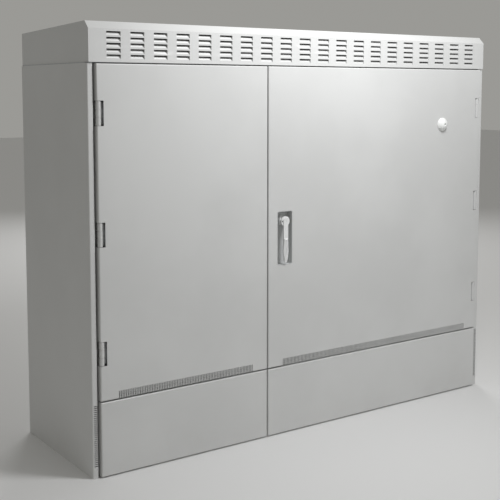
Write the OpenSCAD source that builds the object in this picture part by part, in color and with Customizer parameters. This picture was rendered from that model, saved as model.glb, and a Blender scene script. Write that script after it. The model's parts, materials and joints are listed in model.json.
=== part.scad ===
// Roadside utility cabinet: a folded sheet steel housing on a rail base, with a louvred hood,
// two doors of unequal width on barrel hinges, and a swing handle that drives two lock rods.
// X runs along the front to the right, Y to the rear, Z up. The origin is on the ground at the
// centre of the anchor bolt pattern.

/* [Cabinet] */
// Overall width
cabinet_w = 1650; // [1500:10:1800]
// Depth from the doors' face to the rear
cabinet_d = 500; // [450:10:600]
// Overall height
cabinet_h = 1350; // [1250:10:1500]
// Thickness of the skin sheets
sheet = 2; // [1.5:0.1:2.5]
// Outside radius of the folds
fold_r = 4; // [3:0.5:5]
// Gap between neighbouring covers
cover_gap = 4; // [3.5:0.5:6]

/* [Hood] */
// Height of the hood
hood_h = 118; // [110:1:140]
// How far the hood's face lies behind the doors' face
hood_setback = 5; // [3:0.5:8]
// How far the hood's ends stand in from the side panels
hood_inset = 4; // [3:0.5:8]
// Height and depth of the sloped fold along the hood's upper front edge
hood_bevel = 22; // [16:1:24]
// How far the hood's top falls towards the rear
hood_fall = 16; // [0:1:25]
// Width of the hood's inward bottom flange
hood_flange = 24; // [20:1:30]

/* [Louvres] */
// Number of louvre columns
louvre_columns = 20; // [10:1:20]
// Number of louvres in a column
louvre_rows = 5; // [3:1:5]
// Width of a louvre
louvre_w = 50; // [40:1:55]
// From the hood's end to the middle of the first column
louvre_margin = 80; // [70:1:95]
// Height from one louvre to the next
louvre_pitch = 16.7; // [16:0.1:17]
// Height of the lowest louvre over the hood's lower edge
louvre_sill = 9; // [6:0.5:10]
// How deep a louvre is pressed inwards
louvre_depth = 8; // [6:0.5:10]
// Height of the open slit over a louvre
louvre_slit = 3; // [2.5:0.5:5]

/* [Doors] */
// Width of the left door
left_door_w = 605; // [550:5:650]
// Depth of a door's folded returns
door_return = 32; // [30:1:34]
// Width of a door's stiffening tube
stiffener_w = 26; // [20:1:30]
// Width of a seal strip
seal_w = 10; // [8:1:12]
// Air left between a seal and the frame
seal_air = 0.3; // [0.2:0.1:0.5]

/* [Door vents] */
// Distance from one vent slot to the next
vent_pitch = 5.9; // [5:0.1:6]
// Width of a vent slot
vent_slot = 2.8; // [2.2:0.1:3]
// Height of the vent slots on a door's face
vent_h = 24; // [18:1:30]
// Plain width beside a row of vent slots
vent_margin = 60; // [50:1:80]

/* [Side panels] */
// How far the side panels' front flange lies behind the doors' face
side_setback = 10; // [8:0.5:12]
// Width of the front flange
flange_w = 19; // [17:0.5:21]
// Gap between the flange and the covers
flange_gap = 6; // [5:0.5:7]
// Width of the rear flange
rear_flange_w = 30; // [26:1:34]
// Length of a vent slot in the flange, from its inner edge
flange_slot_l = 14; // [11:0.5:14]
// Height of the lowest flange slot
flange_slot_low = 36; // [30:1:50]

/* [Plinth] */
// Height of the plinth's upper edge
plinth_h = 230; // [226:1:236]
// Air under the plinth panels
plinth_air = 3; // [2:0.5:5]
// Depth of a plinth panel's folded returns
plinth_return = 30; // [28:0.5:32]

/* [Frame] */
// Depth from the cabinet's face to the posts
post_setback = 40; // [39:0.5:42]
// Width of a post
post_w = 53; // [50:1:60]
// Depth of a post
post_d = 50; // [45:1:55]
// Wall of posts and rails
post_wall = 3; // [2:0.5:4]
// Height of the base rails
base_h = 60; // [50:1:70]
// Depth of the base rails
base_d = 50; // [46:1:60]
// Wall of the base rails
base_wall = 4; // [3:0.5:5]
// Depth of the top and sill rails
rail_d = 40; // [36:1:46]
// Height of the top rails
top_rail_h = 45; // [40:1:50]
// Lower edge of the sill rails
sill_low = 225; // [220:1:228]
// Height of the sill rails
sill_h = 41; // [38:1:44]
// Width of the centre post
centre_post_w = 45; // [42:1:48]

/* [Anchors] */
// Distance between anchor holes along the front
anchor_x = 1400; // [1200:10:1450]
// Radius of an anchor hole
anchor_r = 7; // [6:0.5:8]

/* [Hinges] */
// Height of a hinge
hinge_h = 71; // [65:1:75]
// Distance from one hinge to the next
hinge_pitch = 354; // [320:1:380]
// Radius of the barrel
hinge_r = 7.5; // [7:0.1:7.5]
// Radius of the pin
hinge_pin_r = 4; // [3:0.1:4.5]
// From the door's edge to the pin
hinge_edge = 8; // [7.8:0.1:8.5]
// Height of the door's middle knuckle
door_knuckle_h = 24; // [20:1:28]

/* [Handle] */
// Width of the handle's pan
pan_w = 62; // [58:1:70]
// Height of the pan
pan_h = 180; // [170:1:200]
// Depth of the pan's pocket
pan_depth = 25; // [22:0.5:25.5]
// From the door's free edge to the pan
pan_edge = 36; // [32:1:44]
// Height of the pan's lower edge
pan_low = 575; // [540:1:620]
// From the pan's upper edge to the spindle
spindle_drop = 34; // [30:1:40]
// From the lever's tip to the pan's lower edge
lever_tip_gap = 8; // [6:0.5:12]
// Thickness of the lever's grip
lever_t = 10.5; // [9:0.5:12]

/* [Lock] */
// Tooth module of the pinion and racks
tooth_module = 2; // [1.8:0.1:2.2]
// Width of a lock rod
rod_w = 12; // [10:0.5:14]
// Thickness of a lock rod
rod_t = 6; // [5:0.5:7]
// Air between a lock rod or bolt and the frame at rest
tip_air = 1.5; // [1:0.1:2]
// Radius of a slide bolt
bolt_r = 6; // [5:0.5:7]
// Length of a slide bolt
bolt_l = 130; // [110:1:150]

/* [Interior] */
// Middle of the rack space, from the cabinet's middle
rack_x = 300; // [280:1:320]
// Diameter of the white plug in the right door
plug_dia = 50; // [44:1:56]

/* [Hidden] */
$fn = 64;
// Overrun of cuts
over = 1;
// Sliding and running clearances
run_air = 0.3;
pin_air = 0.05;

half_w = cabinet_w / 2;
front_y = -cabinet_d / 2;
rear_y = cabinet_d / 2;
hood_low = cabinet_h - hood_h;
roof_low = hood_low - sheet;
hood_half_w = half_w - hood_inset;

// Doors and plinth panels
door_left_x = -half_w + flange_w + flange_gap;
split_left_x = door_left_x + left_door_w;
split_right_x = split_left_x + cover_gap;
door_right_x = -door_left_x;
door_low = plinth_h + cover_gap;
door_high = hood_low - cover_gap;
door_rear_y = front_y + door_return;
door_mid_z = (door_low + door_high) / 2;
liner_front_y = door_rear_y - sheet;

// Frame
post_front_y = front_y + post_setback;
post_rear_y = -post_front_y;
post_inner_x = half_w - sheet - post_w;
sill_high = sill_low + sill_h;
floor_high = sill_high + sheet;
top_rail_low = roof_low - top_rail_h;
base_front_y = front_y + plinth_return;
side_front_y = front_y + side_setback;
lip_d = base_front_y - side_front_y;
hood_face_y = front_y + hood_setback;
anchor_front_y = base_front_y + base_d / 2;
split_mid_x = (split_left_x + split_right_x) / 2;

// Hinges
hinge_axis_x = door_left_x + hinge_edge;
hinge_axis_y = front_y + hinge_edge;
hinge_notch_w = 22;
hinge_notch_air = 1;
hinge_web = 4;
hinge_foot_t = 3;
hinge_foot_w = 18;
hinge_foot_out = 12;
hinge_leaf_t = 3;
stiffener_x = door_left_x + hinge_notch_w;
stiffener_wall = 1.5;

// Handle and lock
pan_x = split_right_x + pan_edge;
spindle_x = pan_x + pan_w / 2;
spindle_z = pan_low + pan_h - spindle_drop;
lever_l = spindle_z - pan_low - lever_tip_gap;
pan_floor_y = front_y + pan_depth;
pan_wall = 2;
pan_corner_r = 6;
rotor_r = 16.5;
rotor_cheek = 6;
rotor_eye_r = 2.5;
rotor_eye_d = 4;
spindle_r = 5;
lever_proud = 1;
lever_rear_y = front_y - lever_proud;
lever_pin_r = 2.5;
lever_pin_sink = 14;
lever_pin_seat = 5;
lever_pin_y = front_y + lever_pin_sink;
lever_hub_r = 6;
lever_w = 18;
lever_neck_t = 5.5;
lever_head_up = 12;
lever_dimple_r = 3.5;
lever_dimple_d = 1;
lever_shoulder_drop = 56;
lever_shoulder_h = 6;
lever_grip_w = 15;
lever_belly_drop = 101;
lever_belly_w = 21;
lever_ridge = 5;
lever_groove_w = 3;
lever_groove_d = 2;
lever_tip_r = 5;
lever_tip_t = 5;
rotor_rear_y = pan_floor_y - run_air;
rotor_seat_y = lever_pin_y + lever_hub_r + run_air;
rotor_face_y = lever_pin_y - rotor_cheek;
pinion_teeth = 12;
pitch_r = tooth_module * pinion_teeth / 2;
pressure_angle = 25;
addendum_share = 0.8;
dedendum_share = 1.1;
addendum = addendum_share * tooth_module;
dedendum = dedendum_share * tooth_module;
tooth_backlash = 0.3;
pinion_t = 8;
rod_setback = 18;
rod_front_y = door_rear_y + rod_setback;
rod_rear_y = rod_front_y + rod_t;
rack_reach = 40;
rack_sink = 1;
rack_teeth = 9;
rack_lead = 3;
lock_case_t = 30;
lock_case_w = 70;
lock_case_h = 130;
lock_case_wall = 2;
lock_case_rear_y = door_rear_y + lock_case_t;
rod_offset = pitch_r + dedendum + rod_w / 2;
guide_h = 24;
guide_wall = 4;
rod_hole_r = 9;
bolt_inset = 45;
bolt_x = split_left_x - bolt_inset;
bolt_setback = 16;
bolt_y = post_front_y + bolt_setback;
bolt_hole_air = 1.5;
bolt_hole_r = bolt_r + bolt_hole_air;
bolt_guide_w = 30;
bolt_knob_r = 4;
bolt_knob_l = 14;
bolt_guide_share = 0.3;
bolt_guide_h = 16;
bolt_guide_back = 9;

upper_rod_x = spindle_x - rod_offset;
lower_rod_x = spindle_x + rod_offset;
rod_mid_y = (rod_front_y + rod_rear_y) / 2;

// Seals, liners and vents in the doors
seal_hinge_inset = 18;
seal_free_inset = 4;
seal_top_inset = 12;
seal_low_inset = 10;
liner_hinge_inset = 16;
vent_bend = 12;
flange_slot_bend = 6;

// Hood, roof and floor
louvre_strip = 3.4;
roof_inset = 3;
roof_vent_w = 380;
roof_vent_d = 160;
entry_w = 300;
entry_d = 160;
partition_foot = 20;

// Mounting plate and what it carries
plate_margin = 20;
plate_end_gap = 30;
plate_left_x = -post_inner_x + plate_end_gap;
plate_right_x = split_mid_x - centre_post_w;
plate_fold = 20;
plate_setback = 35;
plate_y = post_rear_y - plate_setback;
din_h = 35;
din_web = 27;
din_d = 7.5;
din_t = 1;
din_shares = [0.3, 0.55, 0.8];
clamp_d = 15;
clamp_h = 30;
clamp_mouth = 14;
clamp_up = 30;
earth_t = 5;
earth_h = 25;
earth_standoff = 12;
earth_standoff_r = 8;
earth_hole_r = 4;
earth_up = 120;

// Rack for standard 19 inch equipment
rack_holes = 465;
rack_unit = 44.45;
rack_face = 30;
rack_side = 25;
rack_hole_r = 3.5;
rack_setback = 55;
rack_face_y = post_front_y + rack_setback;
cross_low = top_rail_low + post_wall;
cross_high = roof_low - post_wall;

// White plug
plug_edge = 199;
plug_drop = 202;
plug_x = door_right_x - plug_edge;
plug_z = door_high - plug_drop;
plug_h = 17.5;
plug_shank_r = 15;
plug_shank_l = 9;
plug_screw_r = 4.5;
plug_screw_d = 6;

coat = [0.80, 0.80, 0.78];
coat_dark = [0.62, 0.62, 0.60];
zinc = [0.68, 0.70, 0.72];
steel = [0.55, 0.56, 0.58];
rubber = [0.08, 0.08, 0.09];
copper = [0.72, 0.45, 0.28];
white = [0.93, 0.93, 0.92];

// A block between two corners
module block(lo, hi) {
    translate(lo) cube(hi - lo);
}

// What the left side has, on the left (-1) or mirrored to the right (1)
module sided(side) {
    if (side < 0) children();
    else mirror([1, 0, 0]) children();
}

// A profile in the YZ plane, drawn as (y, z) and run along X
module run_x(length) {
    rotate([90, 0, 90]) linear_extrude(length) children();
}

// A profile in the XZ plane, drawn as (x, z) and run along +Y from y = 0
module run_y(length) {
    translate([0, length, 0]) rotate([90, 0, 0]) linear_extrude(length) children();
}

// A rectangle whose two corners at y = 0 are rounded
module front_rounded(w, d, r) {
    translate([r, 0]) square([w - 2 * r, d]);
    translate([0, r]) square([w, d - r]);
    for (x = [r, w - r]) translate([x, r]) circle(r);
}

// A rectangle with four round corners, from its lower left corner
module rounded_rect(w, h, r) {
    translate([r, 0]) square([w - 2 * r, h]);
    translate([0, r]) square([w, h - 2 * r]);
    for (x = [r, w - r], y = [r, h - r]) translate([x, y]) circle(r);
}

// A block whose four front edges are rounded, as a folded cover's are
module folded_block(size, r) {
    intersection() {
        linear_extrude(size.z) front_rounded(size.x, size.y, r);
        run_x(size.x) mirror([1, -1]) front_rounded(size.z, size.y, r);
    }
}

// A folded cover, open to the rear, between two corners
module cover(lo, hi) {
    inner = [sheet, sheet, sheet];
    translate(lo) difference() {
        folded_block(hi - lo, fold_r);
        translate(inner) folded_block(hi - lo - 2 * inner + [0, sheet + over, 0], fold_r - sheet);
    }
}

// A channel along Z: web at the front, flanges to the rear
module channel_z(lo, hi, wall) {
    difference() {
        block(lo, hi);
        block(lo + [wall, wall, -over], hi + [-wall, over, over]);
    }
}

// A square tube along X
module tube_x(lo, hi, wall) {
    difference() {
        block(lo, hi);
        block(lo + [-over, wall, wall], hi + [over, -wall, -wall]);
    }
}

// FRAME

// A base rail across the front: web to the front, holes for the anchors in its lower flange
module base_rail_across() {
    lo = [-half_w + sheet, base_front_y, 0];
    hi = [half_w - sheet, base_front_y + base_d, base_h];
    difference() {
        block(lo, hi);
        block(lo + [-over, base_wall, base_wall], hi + [over, over, -base_wall]);
        for (x = [-anchor_x / 2, anchor_x / 2])
            translate([x, anchor_front_y, -over]) cylinder(r = anchor_r, h = base_wall + 2 * over);
    }
}

// A base rail along a side, between the front and rear rails
module base_rail_along() {
    end_y = base_front_y + base_d;
    lo = [-half_w + sheet, end_y, 0];
    hi = [-half_w + sheet + base_d, -end_y, base_h];
    difference() {
        block(lo, hi);
        block(lo + [base_wall, -over, base_wall], hi + [over, over, -base_wall]);
    }
}

module base_rail_front() { color(zinc) base_rail_across(); }
module base_rail_rear() { color(zinc) mirror([0, 1, 0]) base_rail_across(); }
module base_rail_left() { color(zinc) base_rail_along(); }
module base_rail_right() { color(zinc) mirror([1, 0, 0]) base_rail_along(); }

module corner_post() {
    channel_z([-half_w + sheet, post_front_y, base_h],
        [-post_inner_x, post_front_y + post_d, roof_low], post_wall);
}

module post_front_left() { color(coat_dark) corner_post(); }
module post_front_right() { color(coat_dark) mirror([1, 0, 0]) corner_post(); }
module post_rear_left() { color(coat_dark) mirror([0, 1, 0]) corner_post(); }
module post_rear_right() { color(coat_dark) mirror([0, 1, 0]) mirror([1, 0, 0]) corner_post(); }

module centre_post() {
    color(coat_dark) channel_z([split_mid_x - centre_post_w / 2, post_front_y, floor_high],
        [split_mid_x + centre_post_w / 2, post_front_y + rail_d, top_rail_low], post_wall);
}

// Holes that take the lock rods and slide bolts, along Z between two heights
module lock_holes(rod_x, low, high) {
    translate([rod_x, rod_mid_y, low]) cylinder(r = rod_hole_r, h = high - low);
    translate([bolt_x, bolt_y, low]) cylinder(r = bolt_hole_r, h = high - low);
}

module top_rail() {
    tube_x([-post_inner_x, post_front_y, top_rail_low],
        [post_inner_x, post_front_y + rail_d, roof_low], post_wall);
}

module top_rail_front() {
    color(coat_dark) difference() {
        top_rail();
        lock_holes(upper_rod_x, top_rail_low - over, top_rail_low + post_wall + over);
    }
}

module top_rail_rear() { color(coat_dark) mirror([0, 1, 0]) top_rail(); }

module sill_rail() {
    tube_x([-post_inner_x, post_front_y, sill_low],
        [post_inner_x, post_front_y + rail_d, sill_high], post_wall);
}

module sill_rail_front() {
    color(coat_dark) difference() {
        sill_rail();
        lock_holes(lower_rod_x, sill_high - post_wall - over, sill_high + over);
    }
}

module sill_rail_rear() { color(coat_dark) mirror([0, 1, 0]) sill_rail(); }

// HOUSING

// A side panel seen from above: skin, rounded front flange with its lip, rear flange
module side_profile() {
    translate([-half_w, side_front_y]) difference() {
        front_rounded(flange_w, lip_d, fold_r);
        translate([sheet, sheet]) front_rounded(flange_w - 2 * sheet, lip_d, fold_r - sheet);
    }
    translate([-half_w, base_front_y - over]) square([sheet, rear_y - base_front_y - fold_r + over]);
    translate([-half_w, rear_y]) mirror([0, 1]) difference() {
        front_rounded(rear_flange_w, fold_r + over, fold_r);
        translate([sheet, sheet]) front_rounded(rear_flange_w, fold_r + 2 * over, fold_r - sheet);
    }
}

module side_panel() {
    slots = floor((plinth_h - 2 * cover_gap - flange_slot_low) / vent_pitch);
    slot_x = -half_w + flange_w - flange_slot_l;
    difference() {
        linear_extrude(roof_low) side_profile();
        for (i = [0 : slots])
            translate([slot_x, side_front_y - over, flange_slot_low + i * vent_pitch])
                cube([flange_slot_l + over, flange_slot_bend + over, vent_slot]);
    }
}

module side_panel_left() { color(coat) side_panel(); }
module side_panel_right() { color(coat) mirror([1, 0, 0]) side_panel(); }

module rear_panel() {
    edge = half_w - rear_flange_w - cover_gap;
    color(coat) mirror([0, 1, 0])
        cover([-edge, front_y, plinth_air], [edge, base_front_y, roof_low - plinth_air]);
}

// The plate under the hood, with a vent over the rack and one across from it
module roof_plate() {
    color(zinc) difference() {
        block([-half_w + roof_inset, door_rear_y, roof_low], [half_w - roof_inset, rear_y - sheet, hood_low]);
        for (side = [-1, 1])
            translate([side * rack_x - roof_vent_w / 2, -roof_vent_d / 2, roof_low - over])
                cube([roof_vent_w, roof_vent_d, sheet + 2 * over]);
    }
}

// The hood's outline from the side, as (y, z), drawn in by a wall
module hood_outline(wall) {
    face_y = hood_face_y + wall;
    low = hood_low + wall;
    high = cabinet_h - wall;
    fall = hood_fall;
    polygon([[face_y, low], [face_y, high - hood_bevel], [face_y + hood_bevel, high],
        [rear_y - wall, high - fall], [rear_y - wall, low]]);
}

// One column of louvres: blades that slope in from the face, with flat strips between them
module louvre_column() {
    face_y = hood_face_y;
    rise = louvre_pitch - louvre_slit - louvre_strip;
    for (i = [0 : louvre_rows - 1]) {
        low = hood_low + louvre_sill + i * louvre_pitch;
        run_x(louvre_w) polygon([[face_y, low], [face_y + louvre_depth, low + rise],
            [face_y + louvre_depth + sheet, low + rise], [face_y + sheet, low]]);
        for (x = [0, louvre_w - sheet]) translate([x, 0, 0]) run_x(sheet)
            polygon([[face_y, low], [face_y + louvre_depth, low + rise],
                [face_y + sheet, low + rise + louvre_slit],
                [face_y, low + rise + louvre_slit]]);
    }
}

module hood() {
    step = 2 * (hood_half_w - louvre_margin) / (louvre_columns - 1);
    color(coat) {
        difference() {
            translate([-hood_half_w, 0, 0]) run_x(2 * hood_half_w) hood_outline(0);
            translate([-hood_half_w + sheet, 0, 0]) run_x(2 * (hood_half_w - sheet)) hood_outline(sheet);
            block([-hood_half_w + hood_flange, door_rear_y + hood_flange, hood_low - over],
                [hood_half_w - hood_flange, rear_y - hood_flange, hood_low + sheet + over]);
            for (i = [0 : louvre_columns - 1], k = [0 : louvre_rows - 1])
                translate([-hood_half_w + louvre_margin + i * step - louvre_w / 2, hood_face_y - over,
                    hood_low + louvre_sill + k * louvre_pitch])
                    cube([louvre_w, sheet + 2 * over, louvre_pitch - louvre_strip]);
        }
        for (i = [0 : louvre_columns - 1])
            translate([-hood_half_w + louvre_margin + i * step - louvre_w / 2, 0, 0]) louvre_column();
    }
}

module plinth_panel(left, right) {
    color(coat) cover([left, front_y, plinth_air], [right, base_front_y, plinth_h]);
}

module plinth_panel_left() { plinth_panel(door_left_x, split_left_x); }
module plinth_panel_right() { plinth_panel(split_right_x, door_right_x); }

// INTERIOR

module floor_plate(left, right, entries) {
    step = (right - left) / entries;
    color(zinc) difference() {
        block([left, post_front_y, sill_high], [right, post_rear_y, floor_high]);
        lock_holes(lower_rod_x, sill_high - over, floor_high + over);
        for (i = [0 : entries - 1])
            translate([left + (i + 1 / 2) * step - entry_w / 2, -entry_d / 2, sill_high - over])
                cube([entry_w, entry_d, sheet + 2 * over]);
    }
}

module floor_plate_left() { floor_plate(-post_inner_x, split_mid_x - run_air / 2, 1); }
module floor_plate_right() { floor_plate(split_mid_x + run_air / 2, post_inner_x, 2); }

module partition_wall() {
    near_y = post_front_y + rail_d;
    color(zinc) {
        block([split_mid_x - sheet / 2, near_y, floor_high],
            [split_mid_x + sheet / 2, post_rear_y, top_rail_low]);
        block([split_mid_x - sheet / 2, near_y, floor_high],
            [split_mid_x + partition_foot, post_rear_y, floor_high + sheet]);
    }
}

module mounting_plate() {
    color(zinc) difference() {
        block([plate_left_x, plate_y, floor_high], [plate_right_x, plate_y + plate_fold, top_rail_low]);
        block([plate_left_x + sheet, plate_y + sheet, floor_high - over],
            [plate_right_x - sheet, plate_y + plate_fold + over, top_rail_low + over]);
    }
}

// The section of a top hat rail against the mounting plate, as (y, z)
module din_section() {
    for (side = [0, 1]) mirror([0, side]) {
        translate([plate_y - din_t, 0]) square([din_t, din_web / 2]);
        translate([plate_y - din_d, din_web / 2 - din_t]) square([din_d, din_t]);
        translate([plate_y - din_d, din_web / 2 - din_t]) square([din_t, (din_h - din_web) / 2 + din_t]);
    }
}

module din_rails() {
    bay = top_rail_low - floor_high;
    color(steel) for (share = din_shares)
        translate([plate_left_x + plate_margin, 0, floor_high + share * bay])
            run_x(plate_right_x - plate_left_x - 2 * plate_margin) din_section();
}

module cable_clamp_rail() {
    length = plate_right_x - plate_left_x - 2 * plate_margin;
    color(steel) translate([plate_left_x + plate_margin, plate_y - clamp_d, floor_high + clamp_up])
        difference() {
        cube([length, clamp_d, clamp_h]);
        translate([-over, sheet, sheet]) cube([length + 2 * over, clamp_d - 2 * sheet, clamp_h - 2 * sheet]);
        translate([-over, -over, (clamp_h - clamp_mouth) / 2])
            cube([length + 2 * over, sheet + 2 * over, clamp_mouth]);
    }
}

module earth_bar() {
    left = plate_left_x + 2 * plate_margin;
    length = plate_right_x - plate_left_x - 4 * plate_margin;
    front = plate_y - earth_standoff - earth_t;
    color(copper) translate([left, 0, floor_high + earth_up]) {
        difference() {
            translate([0, front, 0]) cube([length, earth_t, earth_h]);
            for (x = [earth_h : earth_h : length - earth_h])
                translate([x, front - over, earth_h / 2]) rotate([-90, 0, 0])
                    cylinder(r = earth_hole_r, h = earth_t + 2 * over);
        }
        for (x = [earth_h / 2, length - earth_h / 2])
            translate([x, front + earth_t, earth_h / 2]) rotate([-90, 0, 0])
                cylinder(r = earth_standoff_r, h = earth_standoff);
    }
}

// A pair of angle rails with one hole to each rack unit, their faces at one depth
module rack_rails(face_y, back) {
    high = cross_low;
    units = floor((high - floor_high - rack_unit) / rack_unit);
    color(zinc) for (side = [-1, 1]) translate([rack_x, face_y, floor_high]) sided(side) difference() {
        translate([-rack_holes / 2 - rack_face / 2, 0, 0]) union() {
            cube([rack_face, sheet, high - floor_high]);
            translate([0, min(0, back), 0]) cube([sheet, abs(back), high - floor_high]);
        }
        for (i = [0 : units])
            translate([-rack_holes / 2, -over, (i + 1 / 2) * rack_unit]) rotate([-90, 0, 0])
                cylinder(r = rack_hole_r, h = sheet + 2 * over);
    }
}

module rack_rails_front() { rack_rails(rack_face_y, rack_side); }
module rack_rails_rear() { rack_rails(-rack_face_y, -rack_side); }

module rack_cross_bars() {
    inner_y = post_front_y + rail_d;
    color(zinc) for (side = [-1, 1]) translate([rack_x, 0, 0]) sided(side) difference() {
        block([-rack_holes / 2 - rack_face, inner_y, cross_low],
            [-rack_holes / 2 + rack_face, -inner_y, cross_high]);
        block([-rack_holes / 2 - rack_face + post_wall, inner_y - over, cross_low + post_wall],
            [-rack_holes / 2 + rack_face - post_wall, -inner_y + over, cross_high + over]);
    }
}

// DOORS

// Heights of a door's hinges
hinge_heights = [for (i = [-1 : 1]) door_mid_z + i * hinge_pitch];

// What stands in from the hinge edge and the free edge, as [left, right]
function insets(hinge_left, hinge_inset, free_inset) =
    hinge_left ? [hinge_inset, free_inset] : [free_inset, hinge_inset];

// Vent slots across a door's lower fold
module vent_slots(left, right) {
    count = floor((right - left - 2 * vent_margin) / vent_pitch);
    first = (left + right - count * vent_pitch - vent_slot) / 2;
    for (i = [0 : count])
        translate([first + i * vent_pitch, front_y - over, door_low - over])
            cube([vent_slot, vent_bend + over, vent_h + over]);
}

// Notches in the left door's edge that let the barrels lie flush
module hinge_notches() {
    half_h = hinge_h / 2 + hinge_notch_air;
    for (z = hinge_heights)
        block([door_left_x - over, front_y - over, z - half_h],
            [stiffener_x, door_rear_y + over, z + half_h]);
}

module left_door_skin() {
    color(coat) difference() {
        cover([door_left_x, front_y, door_low], [split_left_x, door_rear_y, door_high]);
        vent_slots(door_left_x, split_left_x);
        hinge_notches();
    }
}

module right_door_skin() {
    color(coat) difference() {
        cover([split_right_x, front_y, door_low], [door_right_x, door_rear_y, door_high]);
        vent_slots(split_right_x, door_right_x);
        mirror([1, 0, 0]) hinge_notches();
        translate([pan_x, front_y - over, pan_low]) run_y(sheet + 2 * over)
            rounded_rect(pan_w, pan_h, pan_corner_r);
        translate([plug_x, front_y - over, plug_z]) rotate([-90, 0, 0])
            cylinder(r = plug_shank_r + run_air, h = sheet + 2 * over);
    }
}

module door_liner(left, right, hinge_left) {
    inset = insets(hinge_left, liner_hinge_inset, sheet);
    block([left + inset[0], liner_front_y, door_low + sheet],
        [right - inset[1], door_rear_y, door_high - sheet]);
}

module left_door_liner() { color(coat_dark) door_liner(door_left_x, split_left_x, true); }

module right_door_liner() {
    color(coat_dark) difference() {
        door_liner(split_right_x, door_right_x, false);
        translate([spindle_x, liner_front_y - over, spindle_z]) rotate([-90, 0, 0])
            cylinder(r = spindle_r + run_air, h = sheet + 2 * over);
    }
}

// The tube behind the left door's hinges
module stiffener() {
    lo = [stiffener_x, front_y + sheet, door_low + fold_r];
    hi = [stiffener_x + stiffener_w, liner_front_y, door_high - fold_r];
    wall = [stiffener_wall, stiffener_wall, -over];
    difference() {
        block(lo, hi);
        block(lo + wall, hi - wall);
    }
}

module left_door_stiffener() { color(zinc) stiffener(); }
module right_door_stiffener() { color(zinc) mirror([1, 0, 0]) stiffener(); }

module door_seal(left, right, hinge_left) {
    inset = insets(hinge_left, seal_hinge_inset, seal_free_inset);
    lo = [left + inset[0], door_rear_y, door_low + seal_low_inset];
    hi = [right - inset[1], post_front_y - seal_air, door_high - seal_top_inset];
    inner = [seal_w, -over, seal_w];
    color(rubber) difference() {
        block(lo, hi);
        block(lo + inner, hi - inner);
    }
}

module left_door_seal() { door_seal(door_left_x, split_left_x, true); }
module right_door_seal() { door_seal(split_right_x, door_right_x, false); }

// HINGES

// Puts a left hinge, drawn round its own pin, at each of its heights
module at_hinges() {
    for (z = hinge_heights) translate([hinge_axis_x, hinge_axis_y, z]) children();
}

module hinge_bore() {
    translate([0, 0, -hinge_h]) cylinder(r = hinge_pin_r + pin_air, h = 2 * hinge_h);
}

// The frame's leaf: two outer knuckles on a web, and a foot on the post
module frame_leaf() {
    low = door_knuckle_h / 2 + run_air;
    high = hinge_h / 2;
    foot_y = post_front_y - hinge_axis_y;
    for (side = [0, 1]) mirror([0, 0, side]) difference() {
        union() {
            translate([0, 0, low]) cylinder(r = hinge_r, h = high - low);
            block([-hinge_web / 2, 0, low], [hinge_web / 2, foot_y - hinge_foot_t, high]);
        }
        hinge_bore();
    }
    block([-hinge_foot_out, foot_y - hinge_foot_t, -high], [hinge_foot_w - hinge_foot_out, foot_y, high]);
}

// The door's leaf: the middle knuckle on an arm, and a plate on the stiffening tube
module door_leaf() {
    half_h = door_knuckle_h / 2;
    arm_y = hinge_r - hinge_web;
    tube_x = stiffener_x - hinge_axis_x;
    plate_rear = liner_front_y - hinge_axis_y - hinge_leaf_t;
    difference() {
        union() {
            translate([0, 0, -half_h]) cylinder(r = hinge_r, h = door_knuckle_h);
            block([0, arm_y, -half_h], [tube_x, hinge_r, half_h]);
        }
        hinge_bore();
    }
    block([tube_x - hinge_leaf_t, arm_y, -hinge_h / 2 + hinge_leaf_t],
        [tube_x, plate_rear, hinge_h / 2 - hinge_leaf_t]);
}

module hinge_pin() {
    translate([0, 0, -hinge_h / 2]) cylinder(r = hinge_pin_r, h = hinge_h);
}

module left_frame_hinges() { color(coat_dark) at_hinges() frame_leaf(); }
module right_frame_hinges() { color(coat_dark) mirror([1, 0, 0]) at_hinges() frame_leaf(); }
module left_door_hinges() { color(coat_dark) at_hinges() door_leaf(); }
module right_door_hinges() { color(coat_dark) mirror([1, 0, 0]) at_hinges() door_leaf(); }
module left_hinge_pins() { color(steel) at_hinges() hinge_pin(); }
module right_hinge_pins() { color(steel) mirror([1, 0, 0]) at_hinges() hinge_pin(); }

// LEFT DOOR BOLTS

upper_bolt_low = top_rail_low - tip_air - bolt_l;
lower_bolt_low = floor_high + tip_air;

module left_bolt_guides() {
    color(zinc) for (low = [upper_bolt_low, lower_bolt_low], side = [-1, 1]) {
        mid = low + bolt_l / 2 + side * bolt_guide_share * bolt_l;
        difference() {
            block([bolt_x - bolt_guide_w / 2, door_rear_y, mid - bolt_guide_h / 2],
                [bolt_x + bolt_guide_w / 2, bolt_y + bolt_guide_back, mid + bolt_guide_h / 2]);
            translate([bolt_x, bolt_y, mid - bolt_guide_h])
                cylinder(r = bolt_r + run_air, h = 2 * bolt_guide_h);
        }
    }
}

module slide_bolt(low) {
    color(steel) translate([bolt_x, bolt_y, low]) {
        cylinder(r = bolt_r, h = bolt_l);
        translate([0, 0, bolt_l / 2]) rotate([-90, 0, 0]) cylinder(r = bolt_knob_r, h = bolt_r + bolt_knob_l);
    }
}

module left_bolt_upper() { slide_bolt(upper_bolt_low); }
module left_bolt_lower() { slide_bolt(lower_bolt_low); }

// HANDLE AND LOCK

module handle_pan() {
    color(coat_dark) translate([pan_x, front_y, pan_low]) difference() {
        run_y(pan_depth + pan_wall) rounded_rect(pan_w, pan_h, pan_corner_r);
        translate([pan_wall, -over, pan_wall]) run_y(pan_depth + over)
            rounded_rect(pan_w - 2 * pan_wall, pan_h - 2 * pan_wall, pan_corner_r - pan_wall);
        translate([spindle_x - pan_x, pan_depth - over, spindle_z - pan_low]) rotate([-90, 0, 0])
            cylinder(r = spindle_r + run_air, h = pan_wall + 2 * over);
    }
}

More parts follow.
